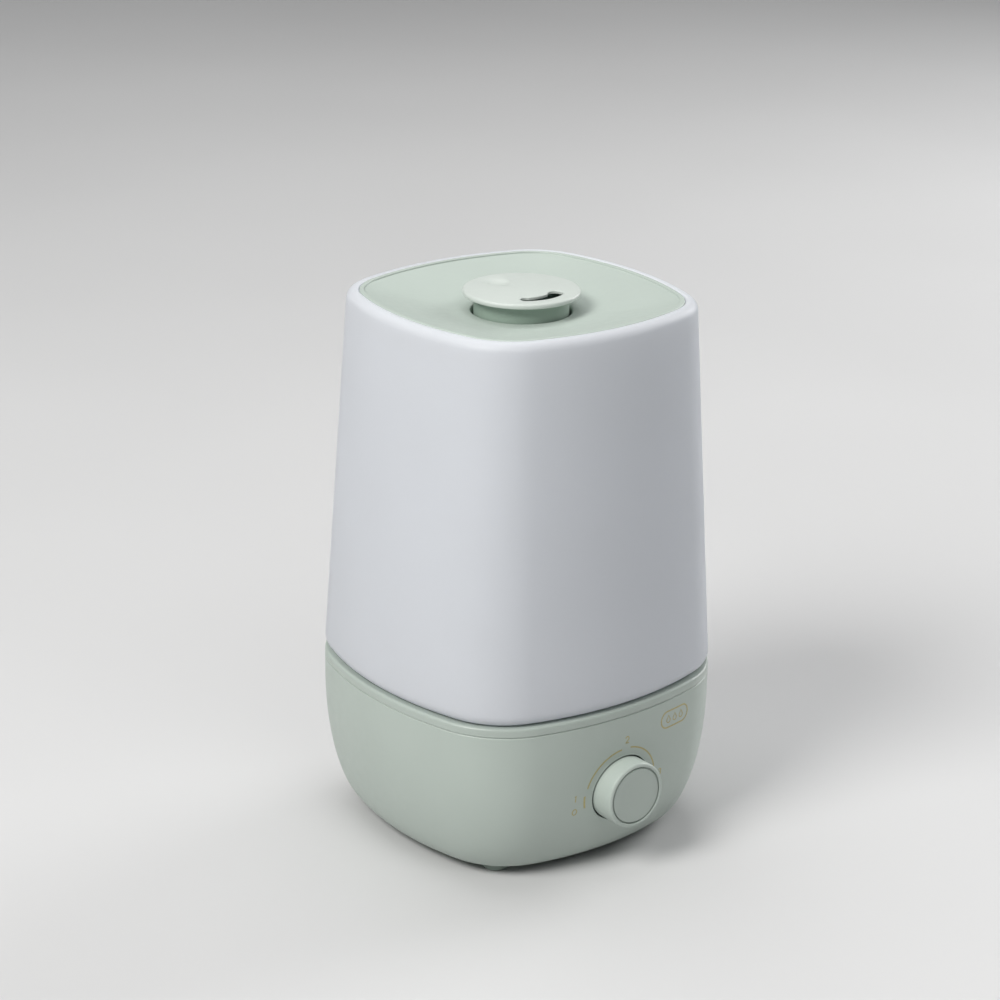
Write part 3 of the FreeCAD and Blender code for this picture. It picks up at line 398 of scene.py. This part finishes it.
def carved(mesh, *cutters):
    """The mesh less its cutters, by an exact boolean."""
    target = bpy.data.objects.new("carving", mesh)
    bpy.context.scene.collection.objects.link(target)
    tools = []
    for number, cutter in enumerate(cutters):
        tool = bpy.data.objects.new(f"cutter_{number}", cutter)
        bpy.context.scene.collection.objects.link(tool)
        modifier = target.modifiers.new(tool.name, "BOOLEAN")
        modifier.operation = "DIFFERENCE"
        modifier.solver = "EXACT"
        modifier.object = tool
        tools.append(tool)
    result = bpy.data.meshes.new_from_object(target.evaluated_get(bpy.context.evaluated_depsgraph_get()))
    result.name = mesh.name
    for thing in (target, *tools):
        bpy.data.objects.remove(thing)
    return tidied(result)


def add_piece(mesh, slot, body="root", replaced=(), material=None):
    name = mesh.name
    piece = bpy.data.objects.new(name, mesh)
    bpy.context.scene.collection.objects.link(piece)
    dress(piece, material or MATERIALS[slot])
    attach(piece, body)
    if replaced:
        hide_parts(*replaced)
    return piece


# ---------------------------------------------------------------- base

FORWARD = Matrix.Rotation(math.pi / 2, 4, "X")


def bowl_half(height):
    """Outer half width of the casing at a height: a quarter ellipse up to the upright band."""
    share = min(max((height - FLOOR) / (BOWL_TOP - FLOOR), 0), 1)
    return FLOOR_HALF + (RIM_HALF - FLOOR_HALF) * math.sqrt(1 - (1 - share) ** 2)


def bowl_rings(inset, floor, step):
    rings = []
    for angle in range(0, 91, step):
        half = FLOOR_HALF - inset + (RIM_HALF - FLOOR_HALF) * math.sin(math.radians(angle))
        rings.append(base_ring(half, floor + (BOWL_TOP - floor) * (1 - math.cos(math.radians(angle)))))
    return rings


def base_casing():
    outer = bowl_rings(0, FLOOR, 3)
    inner = bowl_rings(CASING_WALL, FLOOR + CASING_FLOOR, 6)
    like = outer[0]
    seam, cover, cover_hole, recess_depth = 0.5, 54.2, 50, 2.5
    near, far = 50, 110
    rings = [round_ring(cover, FLOOR, like), *outer, base_ring(RIM_HALF, CASING_TOP - seam),
             base_ring(RIM_HALF, CASING_TOP, seam), base_ring(RIM_HALF, CASING_TOP, CASING_WALL),
             *reversed(inner), round_ring(cover_hole, FLOOR + CASING_FLOOR, like),
             round_ring(cover_hole, FLOOR + recess_depth, like),
             round_ring(cover, FLOOR + recess_depth, like)]
    hole = [(0, near), (KNOB_HOLE, near), (KNOB_HOLE, far), (0, far)]
    knob = turned("knob_cutter", hole, (0, 0, DIAL_HEIGHT), FORWARD)
    low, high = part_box("dc_jack")
    middle = [(a + b) / 2 / MM for a, b in zip(low, high)]
    side = (high[0] - low[0]) / 2 / MM + 0.2
    square = [(middle[0] + x * side, middle[2] + z * side) for x, z in ((-1, -1), (1, -1), (1, 1), (-1, 1))]
    jack = skin("jack_cutter", [[(x, y, z) for x, z in square] for y in (near, far)], closed=False)
    recess = [(0, -10), (FOOT_HOLE, -10), (FOOT_HOLE, FLOOR + 1), (0, FLOOR + 1)]
    corners = [(x * FOOT_PLACE, y * FOOT_PLACE, 0) for x in (-1, 1) for y in (-1, 1)]
    feet = [turned(f"foot_cutter_{number}", recess, place, count=48) for number, place in enumerate(corners)]
    add_piece(carved(skin("casing_shell", rings), knob, jack, *feet), "base_green", "root", ["base_casing"])


def on_casing(x, z, lift=0.0):
    """Point of the casing's front at a place seen from the front, moved out by a lift."""
    def depth(x, z):
        half = bowl_half(z)
        bow = BASE_SHAPE[1] * half
        return (bow - half) - math.sqrt(bow ** 2 - x ** 2)

    step = 0.05
    here = Vector((x, depth(x, z), z))
    across = Vector((x + step, depth(x + step, z), z)) - here
    up = Vector((x, depth(x, z + step), z + step)) - here
    return here + across.cross(up).normalized() * lift


def ribbon(name, path, width, closed=False):
    """Printed line on the casing's front: a thin solid sunk a little into the shell."""
    rings = []
    count = len(path)
    for place, (x, z) in enumerate(path):
        before = path[place - 1] if closed or place else path[0]
        after = path[(place + 1) % count] if closed or place < count - 1 else path[-1]
        along = Vector((after[0] - before[0], after[1] - before[1])).normalized()
        edge = Vector((-along.y, along.x)) * width / 2
        rings.append([on_casing(x + side * edge.x, z + side * edge.y, lift)
                      for side, lift in ((-1, -0.25), (1, -0.25), (1, 0.07), (-1, 0.07))])
    add_piece(skin(name, rings, closed=closed), "base_green", "root", material=INK)


def arc(centre, radius, start, end, step=4):
    count = max(2, round(abs(end - start) / step))
    angles = [math.radians(start + (end - start) * place / count) for place in range(count + 1)]
    return [(centre[0] + radius * math.cos(angle), centre[1] + radius * math.sin(angle)) for angle in angles]


def dial_marks():
    """Gold speed scale: two arcs and an end tick round the knob, with the numbers 0 to 3."""
    centre = (0, DIAL_HEIGHT)
    ribbon("scale_low_to_medium", arc(centre, 20.6, 167, 95), 0.75)
    ribbon("scale_medium_to_high", arc(centre, 20.9, 80, 8), 0.75)
    ribbon("scale_off_tick", arc(centre, 21.2, 178, 196), 0.95)
    digits = {
        "0": [arc((0, 0), 1, 0, 348, 12)],
        "1": [[(-0.4, 1.0), (0.15, 1.5), (0.15, 0), (0.15, -1.5)]],
        "2": [arc((0, 0.6), 0.85, 170, -35, 15) + [(-0.9, -1.4), (0, -1.4), (0.9, -1.4)]],
        "3": [arc((0, 0.72), 0.72, 160, -80, 15) + arc((0, -0.72), 0.78, 85, -160, 15)],
    }
    for digit, angle, reach in (("0", 195, 26.6), ("1", 179, 26.2), ("2", 87, 25.0), ("3", 1, 25.2)):
        turn = math.radians(angle)
        x, z = centre[0] + reach * math.cos(turn), centre[1] + reach * math.sin(turn)
        for stroke in digits[digit]:
            stretched = 1.35 if digit == "0" else 1.0
            path = [(x + a * 1.15, z + b * stretched * 1.15) for a, b in stroke]
            ribbon(f"scale_number_{digit}", path, 0.52, closed=digit == "0")


def badge():
    """Plain pill outline with three water drops, right of the knob under the rim."""
    middle_x, middle_z, reach, radius = 33.2, 69.0, 5.5, 4.2
    right = arc((middle_x + reach, middle_z), radius, -90, 90, 10)
    left = arc((middle_x - reach, middle_z), radius, 90, 270, 10)
    steps = [reach * (1 - part / 4) for part in range(1, 8)]
    upper, lower = ([(middle_x + side * step, middle_z + side * radius) for step in steps]
                    for side in (1, -1))
    ribbon("badge_outline", right + upper + left + lower, 0.75, closed=True)
    for number, shift in enumerate((-4.6, 0, 4.6)):
        round_end = arc((middle_x + shift, middle_z - 0.5), 1.25, 150, 390, 15)
        ribbon(f"badge_drop_{number}", [(middle_x + shift, middle_z + 2.0)] + round_end, 0.5, closed=True)


def knob_lip():
    """Soft rolled edge round the knob's opening, on the curved front."""
    rings = []
    for step in range(96):
        angle = 2 * math.pi * step / 96
        out = Vector((math.cos(angle), 0, math.sin(angle)))
        x, z = (KNOB_HOLE + 0.15) * out.x, DIAL_HEIGHT + (KNOB_HOLE + 0.15) * out.z
        middle = on_casing(x, z, -0.22)
        normal = (on_casing(x, z, 1) - on_casing(x, z, 0)).normalized()
        rings.append([middle + 0.38 * (out * math.cos(turn) + normal * math.sin(turn))
                      for turn in (2 * math.pi * part / 10 for part in range(10))])
    add_piece(skin("knob_lip", rings), "base_green")


def knob():
    length, radius, ring, disc, recess = KNOB_FACE - KNOB_BACK, 16.15, 14.2, 13.6, 1.4
    body = [(0, 10), (3, 10), (3, 0), (14.6, 0), (radius, 4, 2), (radius, length, 1.4), (ring, length, 0.45),
            (ring, length - recess), (0, length - recess)]
    shell = turned("knob_body", body, (0, -KNOB_BACK, DIAL_HEIGHT), FORWARD, 128)
    add_piece(shell, "base_green", "dial", ["dial_knob"])
    cap = [(0, 0), (disc, 0), (disc, 1.15, 0.5), (9, 1.12), (0, 1.05)]
    face = turned("knob_disc", cap, (0, recess - KNOB_FACE, DIAL_HEIGHT), FORWARD, 128)
    add_piece(face, "base_green", "dial", ["knob_cap"])


def indicator_lamp():
    """Hollow clear dome with the lamp's own bead inside it."""
    flange, outer, inner = 5.2, 4.2, 3.3
    dome = [(flange, 0), (flange, 1.6), (outer, 1.6), (outer, 11), (3.9, 12.5), (3.2, 13.7), (2.0, 14.5),
            (0.7, 14.8), (0, 14.8)]
    hollow = [(0, 13.7), (0.7, 13.7), (1.7, 13.4), (2.6, 12.7), (3.1, 11.6), (inner, 10.6), (inner, 0)]
    add_piece(turned("lamp_lens", dome + hollow, LAMP, count=64), "clear", "root", ["lamp_dome"])
    bead = [(0, 0.1), (2.6, 0.1), (2.6, 1.0, 0.2), (2.1, 1.0), (2.1, 6.2, 0.3), (1.8, 7.5, 0.8), (0, 8.2)]
    add_piece(turned("lamp_bead", bead, LAMP, count=48), "silicone")


# ---------------------------------------------------------------- tank, lid and nozzle

def tank():
    wall, mouth, ledge, under_ledge, opening = 2.5, 67.9, 64.6, 254, 66
    inside = RIM_TOP + wall
    corners = [(TANK_HALF_LOW, RIM_TOP, 6), (TANK_HALF_HIGH, TANK_TOP, 4.7), (mouth, TANK_TOP, 0.75),
               (mouth, LEDGE_LEVEL), (ledge, LEDGE_LEVEL), (ledge, under_ledge),
               (tank_half(under_ledge) - wall, under_ledge, 2.5), (tank_half(inside) - wall, inside, 3.5),
               (opening, inside), (opening, RIM_TOP)]
    rows = profile(corners, steps=8)
    rings = []
    for here, following in zip(rows, rows[1:] + rows[:1]):
        rings.append(tank_ring(*here))
        if abs(following.y - here.y) > TALL_STEP:
            rings += [tank_ring(*here.lerp(following, step / 12)) for step in range(1, 12)]
    add_piece(skin("tank_wall", rings), "frosted", "tank", ["tank_shell"])


def tank_floor():
    """Clear plate with the skirt that hangs inside the base's rim."""
    skirt, skirt_low, thick, spigot, bore, seat_radius = 75, 77, 2, 65.8, 16, 18
    plate = RIM_TOP + 2.5
    corners = [(skirt, skirt_low, 0.8), (skirt, RIM_TOP, 0.3), (spigot, RIM_TOP), (spigot, plate)]
    inside = [(skirt - thick, RIM_TOP - thick, 0.6), (skirt - thick, skirt_low, 0.8)]
    rows = profile(corners + inside)
    split = rows.index(Vector(corners[-1][:2])) + 1
    like = tank_ring(*rows[0])
    middle = [round_ring(seat_radius, plate, like), round_ring(seat_radius, RIM_TOP, like),
              round_ring(bore, RIM_TOP, like), round_ring(bore, RIM_TOP - thick, like)]
    rings = [tank_ring(*row) for row in rows[:split]] + middle + [tank_ring(*row) for row in rows[split:]]
    seat = turned("valve_cutter", [(0, 70), (8, 70), (8, 90), (0, 90)], (*VALVE, 0), count=64)
    add_piece(carved(skin("tank_floor", rings), seat), "clear", "tank", ["tank_bottom"])


def lid():
    """Dished lid: a flat lip, a small step down, then a slope from the square outline to the round hole."""
    half, lip, step, dish_level, dish_edge, roll, squarest = 67.6, 2.4, 0.8, 256.2, 27, 0.9, 44
    start, low = half - lip, TANK_TOP - step
    like = tank_ring(half, TANK_TOP)

    def ring(reach, height):
        round_share = min(max((squarest - reach) / (squarest - LID_HOLE - 1.5), 0), 1)
        round_share = round_share ** 2 * (3 - 2 * round_share)
        return blended(tank_ring(reach, height), round_ring(reach, height, like), round_share)

    plug, slope_start = 64.0, start - 2
    edge = profile([(plug, LEDGE_LEVEL), (half, LEDGE_LEVEL, 0.2), (half, TANK_TOP, 0.7),
                    (start, TANK_TOP, 0.4), (start, low, 0.3), (slope_start, low - 0.35)], closed=False)
    slope = []
    for place in range(1, 25):
        reach = slope_start + (LID_HOLE + roll - slope_start) * place / 24
        share = max(reach - dish_edge, 0) / (start - dish_edge)
        slope.append((reach, dish_level + (low - dish_level) * share ** 1.25))
    rolled = [(LID_HOLE + roll * (1 - math.sin(turn)), dish_level - roll * (1 - math.cos(turn)))
              for turn in (math.pi / 2 * part / 5 for part in range(1, 6))]
    shelf, outer, under, bottom = 19, 25.8, 253.8, 245
    collar = [(LID_HOLE, NECK_FOOT), (shelf, NECK_FOOT), (shelf, bottom), (outer, bottom), (outer, under)]
    rings = [tank_ring(*row) for row in edge] + [ring(*row) for row in slope]
    rings += [round_ring(*row, like) for row in rolled + collar]
    rings += [tank_ring(61.2, under), tank_ring(62, 253), tank_ring(plug, 253)]
    add_piece(skin("lid_plate", rings), "base_green", "lid", ["top_lid"])


def meeting(centre, radius, other, other_radius, near):
    """Where two circles cross, on the side nearer to a point."""
    gap = other - centre
    along = (gap.length_squared + radius ** 2 - other_radius ** 2) / (2 * gap.length)
    aside = math.sqrt(max(radius ** 2 - along ** 2, 0))
    foot, square = centre + gap.normalized() * along, Vector((-gap.y, gap.x)).normalized()
    return min((foot + square * aside, foot - square * aside), key=lambda point: (point - near).length)


def swept(centre, start, end, clockwise, count):
    """Points of an arc from start to end about a centre."""
    first, last = (math.atan2(*(point - centre).yx) for point in (start, end))
    turn = (first - last) % (2 * math.pi) if clockwise else -((last - first) % (2 * math.pi))
    radius = (start - centre).length
    angles = (first - turn * step / count for step in range(count))
    return [centre + radius * Vector((math.cos(angle), math.sin(angle))) for angle in angles]


def comma(grow):
    """Outline of the mist slot, moved out by grow: outer arc, round tail, island arc and round bulb."""
    outer, bulb, tail, island = 20.8, 3.7, 2.9, 14.9
    island_at = Vector((-1.3, 0))
    bulb_way, tail_way = (Vector((math.cos(turn), math.sin(turn))) for turn in map(math.radians, (-62, -121)))
    bulb_at, tail_at = bulb_way * (outer - bulb), tail_way * (outer - tail)
    bulb_out, tail_out = bulb_way * (outer + grow), tail_way * (outer + grow)
    inner_tail = meeting(island_at, island - grow, tail_at, tail + grow, tail_way * island)
    inner_bulb = meeting(island_at, island - grow, bulb_at, bulb + grow,
                         Matrix.Rotation(math.radians(-9), 2) @ bulb_way * island)
    return [*swept(Vector((0, 0)), bulb_out, tail_out, True, 40),
            *swept(tail_at, tail_out, inner_tail, True, 20),
            *swept(island_at, inner_tail, inner_bulb, False, 40),
            *swept(bulb_at, inner_bulb, bulb_out, True, 24)]


def nozzle():
    """A thin turning disc with the mist slot, and the neck that carries it, coloured darker and greener as
    painted shade under the disc's overhang.
    """
    neck, neck_inside, disc, base = 22.4, 21.4, 27.7, 264
    ring, ring_top, sunk = 23.4, NECK_FOOT + 2, base + 0.5
    corners = [(neck_inside, NECK_FOOT), (ring, NECK_FOOT, 0.3), (ring, ring_top, 0.3), (neck, ring_top),
               (neck, sunk), (neck_inside, sunk)]
    # The neck's material is painted shade: the sage darkened for the shadow under the disc.
    add_piece(turned("mist_neck", corners, count=128), "nozzle_green", "nozzle", material=PAINTED_SHADE_SAGE)
    under = NOZZLE_TOP - NOZZLE_SKIN
    corners = [(0, under), (neck_inside + 0.3, under), (neck_inside + 0.3, base), (disc, base, 0.7),
               (disc, NOZZLE_TOP, 1.1), (0, NOZZLE_TOP)]
    body = turned("mist_cap", corners, count=128)
    lip, above, below = 0.45, NOZZLE_TOP + 1, NOZZLE_TOP - 3
    rings = [[(*point, above) for point in comma(lip)]]
    for turn in (math.pi / 2 * part / 4 for part in range(5)):
        height = NOZZLE_TOP - lip * (1 - math.cos(turn))
        rings.append([(*point, height) for point in comma(lip * (1 - math.sin(turn)))])
    rings.append([(*point, below) for point in comma(0)])
    slot = skin("slot_cutter", rings, closed=False)
    depth, radius = 0.9, 5.5
    dent = [(radius * part / 8, NOZZLE_TOP - depth + depth * (part / 8) ** 2) for part in range(9)]
    dent += [(radius + 0.01, above), (0, above)]
    dimple = turned("dimple_cutter", dent, (-2.6, 14.6, 0), count=48)
    add_piece(carved(body, slot, dimple), "nozzle_green", "nozzle", ["mist_nozzle"])


# ---------------------------------------------------------------- camera, light and floor

def aim(thing, place, target, roll=0.0):
    thing.location = place
    turn = (Vector(target) - Vector(place)).to_track_quat("-Z", "Y").to_matrix().to_4x4()
    thing.rotation_euler = (turn @ Matrix.Rotation(roll, 4, "Z")).to_euler()


def add_camera():
    """Front left, from above, with a long lens."""
    data = bpy.data.cameras.new("camera")
    data.lens = 102.8
    data.sensor_width = 36
    data.clip_end = 60
    camera = bpy.data.objects.new("camera", data)
    bpy.context.scene.collection.objects.link(camera)
    target = Vector((-6.9, 5.3, 161.2)) * MM
    azimuth, elevation = math.radians(-37.83), math.radians(20.27)
    away = Vector((math.sin(azimuth) * math.cos(elevation), -math.cos(azimuth) * math.cos(elevation),
                   math.sin(elevation)))
    aim(camera, target + away * 1.366, target, math.radians(0.81))
    bpy.context.scene.camera = camera


def add_light(name, place, target, size, power, colour=(1, 1, 1)):
    data = bpy.data.lights.new(name, "AREA")
    data.shape = "DISK"
    data.size = size
    data.energy = power
    data.color = colour
    light = bpy.data.objects.new(name, data)
    bpy.context.scene.collection.objects.link(light)
    aim(light, place, target)


def add_studio():
    centre = (0, 0, 0.12)
    add_light("key", (-2.4, -0.32, 2.5), centre, 1.5, 92, (1.0, 0.99, 0.97))
    add_light("top", (0.1, 0.7, 2.4), centre, 2.0, 27)
    add_light("front", (-0.3, -1.5, 2.0), centre, 1.4, 10)
    add_light("right", (2.0, 0.1, 0.9), centre, 1.2, 24)
    world = bpy.data.worlds.new("studio")
    world.use_nodes = True
    world.node_tree.nodes["Background"].inputs["Color"].default_value = (0.95, 0.97, 1.0, 1)
    world.node_tree.nodes["Background"].inputs["Strength"].default_value = 0.13
    bpy.context.scene.world = world
    mesh = bpy.data.meshes.new("floor")
    reach = 7.0
    mesh.from_pydata([(-reach, -reach, 0), (reach, -reach, 0), (reach, reach, 0), (-reach, reach, 0)], [],
                     [(0, 1, 2, 3)])
    floor = bpy.data.objects.new("floor", mesh)
    bpy.context.scene.collection.objects.link(floor)
    made = Shader("pale_floor")
    tone = made.colours(made.noise(2, 2), (0.60, 0.60, 0.60), (0.63, 0.63, 0.63))
    made.link(tone, made.surface.inputs["Base Color"])
    made.set(Roughness=0.45)
    dress(floor, made.material)
    bpy.context.scene.view_settings.view_transform = "Standard"


dress_frame()
add_camera()
base_casing()
knob_lip()
dial_marks()
badge()
knob()
indicator_lamp()
tank()
tank_floor()
lid()
nozzle()
add_studio()
